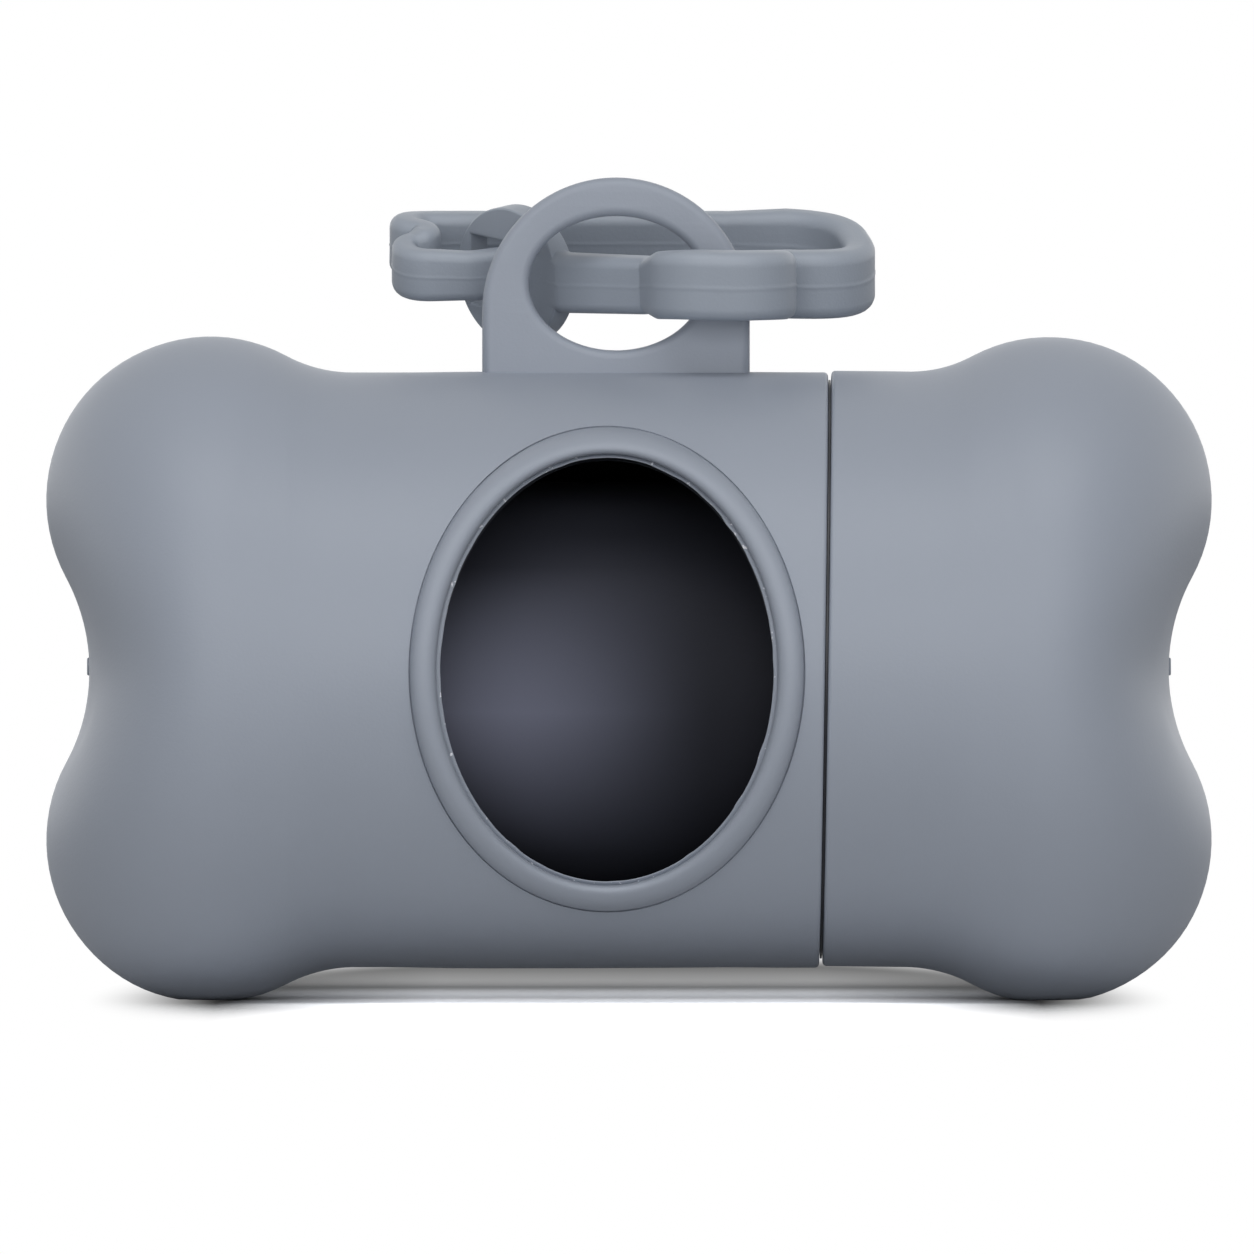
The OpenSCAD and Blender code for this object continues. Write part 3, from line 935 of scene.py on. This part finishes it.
# ---- every piece on its body ----
print("putting the pieces on their bodies")
for piece in (caseShell, windowBead, windowLip, hangingLug, shellGate, seamStep):
    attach(piece, "case")
    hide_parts("main_shell")
    dress(piece, casePlastic)
# the lip carries painted highlights in its colour
dress(windowLip, glintedLipPlastic)
dress(seamStep, linerPlastic)
for piece in (capShell, capGate, *ridges):
    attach(piece, "cap")
    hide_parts("end_cap")
    dress(piece, casePlastic)
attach(hangingStrap, "strap")
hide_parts("hanging_strap")
dress(hangingStrap, strapRubber)
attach(bagRoll, "roll")
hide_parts("bag_roll")
dress(bagRoll, bagFilm)
dress(cadNodes["inner_sleeve"], linerPlastic)
dress(cadNodes["cap_cup"], linerPlastic)
dress(cadNodes["roll_core"], corePaper)

# ---- floor, world and lamps ----
studio = {
    "floorSize": 6.0,
    "floorColour": 0.8,
    "floorGain": 4.4,        # the floor's colour for the camera alone
    "shadowWidth": 80.0,     # the floor fades to plain white round this oval, in mm
    "shadowDepth": 280.0,
    "shadowEdge": (0.72, 1.0),
    # painted shadow: between the lobes the floor's colour darkens to the back: from, to in mm, and what
    # is left
    "paintedBackShadow": ((8.0, 36.0, 0.24), (30.0, 110.0, 0.35)),
    "contactReach": 48.0,    # painted contact shadow: soft dark in the floor's colour round the lobes' contact, in mm
    "contactPower": 4.0,
    "contactShare": 0.5,
    "contactFrom": (14.0, 30.0),   # mm from the middle, left and right
    "frontLight": 0.15,      # the white surround's own light, from in front and from behind
    "backLight": 0.65,
    "backShine": 1.7,
    "topShare": 0.1,         # what is left of both towards the top
    "behind": (-0.2, 0.6),   # how far a direction points back, and up, for these to change
    "above": (0.1, 0.6),
}


def makeFloor():
    s = studio
    clearSelection()
    bpy.ops.mesh.primitive_plane_add(size=s["floorSize"])
    floor = named("floor")
    settle(floor)
    material = bpy.data.materials.new("floorPaper")
    material.use_nodes = True
    tree = material.node_tree
    tree.nodes.clear()
    place, parts = addPlaces(tree)
    tone = s["floorColour"] * s["floorGain"]
    # painted shadow: the floor's colour darkens to the back between the lobes
    for start, end, left in s["paintedBackShadow"]:
        step = addRamp(tree, parts["Y"], start * mm, end * mm, 1, left)
        tone = addMath(tree, "MULTIPLY", step, tone)
    # painted contact shadow: ambient occlusion darkens the floor's colour round the lobes
    near = addNode(tree, "AmbientOcclusion", {"Distance": s["contactReach"] * mm}, samples=4)
    contact = addMath(tree, "POWER", near.outputs["AO"], s["contactPower"])
    contact = addMath(tree, "MULTIPLY", contact, s["contactShare"])
    inner, outer = s["contactFrom"]
    aside = addMath(tree, "ABSOLUTE", parts["X"])
    atLobes = addRamp(tree, aside, inner * mm, outer * mm, kind="LINEAR")
    tone = addMath(tree, "MULTIPLY", tone, addBlend(tree, atLobes, 1, contact))
    shaded = addNode(tree, "BsdfDiffuse", {"Color": tone})
    white = addNode(tree, "Emission", {"Strength": 1})
    halfSize = (s["shadowWidth"] / 2 * mm, s["shadowDepth"] / 2 * mm, 1)
    oval = addNode(tree, "VectorMath", {0: place, 1: halfSize}, operation="DIVIDE")
    reach = addNode(tree, "VectorMath", {0: oval.outputs[0]}, operation="LENGTH")
    fade = addRamp(tree, reach.outputs["Value"], *s["shadowEdge"])
    shown = addNode(tree, "MixShader", {0: fade, 1: shaded.outputs[0], 2: white.outputs[0]})
    plain = addNode(tree, "BsdfDiffuse", {"Color": (s["floorColour"],) * 3 + (1,)})
    forCamera = addNode(tree, "LightPath").outputs["Is Camera Ray"]
    mix = addNode(tree, "MixShader", {0: forCamera, 1: plain.outputs[0], 2: shown.outputs[0]})
    addNode(tree, "OutputMaterial", {"Surface": mix.outputs[0]})
    dress(floor, material)


def makeWorld():
    # a white surround that lights and shines most from behind
    s = studio
    world = bpy.data.worlds.new("studio")
    bpy.context.scene.world = world
    world.use_nodes = True
    tree = world.node_tree
    tree.nodes.clear()
    _, parts = addPlaces(tree, "Generated")
    behind = addRamp(tree, parts["Y"], *s["behind"])
    share = addMath(tree, "MULTIPLY", behind, addRamp(tree, parts["Z"], *s["above"], 1, s["topShare"]))
    light = addMath(tree, "MULTIPLY_ADD", share, s["backLight"] - s["frontLight"], s["frontLight"])
    shine = addMath(tree, "MULTIPLY_ADD", share, s["backShine"] - 1, 1)
    path = addNode(tree, "LightPath").outputs
    level = addBlend(tree, path["Is Glossy Ray"], light, shine)
    level = addBlend(tree, path["Is Camera Ray"], level, 1)
    sky = addNode(tree, "Background", {"Color": (1, 1, 1, 1), "Strength": level})
    addNode(tree, "OutputWorld", {"Surface": sky.outputs[0]})


def makeLamp(name, place, target, size, power):
    data = bpy.data.lights.new(name, "AREA")
    data.shape = "RECTANGLE"
    data.size, data.size_y = size
    data.energy = power
    lamp = bpy.data.objects.new(name, data)
    bpy.context.collection.objects.link(lamp)
    lamp.location = place
    lamp.rotation_euler = (Vector(target) - Vector(place)).to_track_quat("-Z", "Y").to_euler()


print("lighting the studio")
makeFloor()
makeWorld()
makeLamp("frontBox", (0, -1.0, 0.3), (0, 0, 0.024), (1.5, 0.45), 4.8)
makeLamp("topBox", (0, -0.4, 0.7), (0, 0, 0.03), (0.9, 0.3), 2.6)

bpy.context.scene.view_settings.view_transform = "Standard"
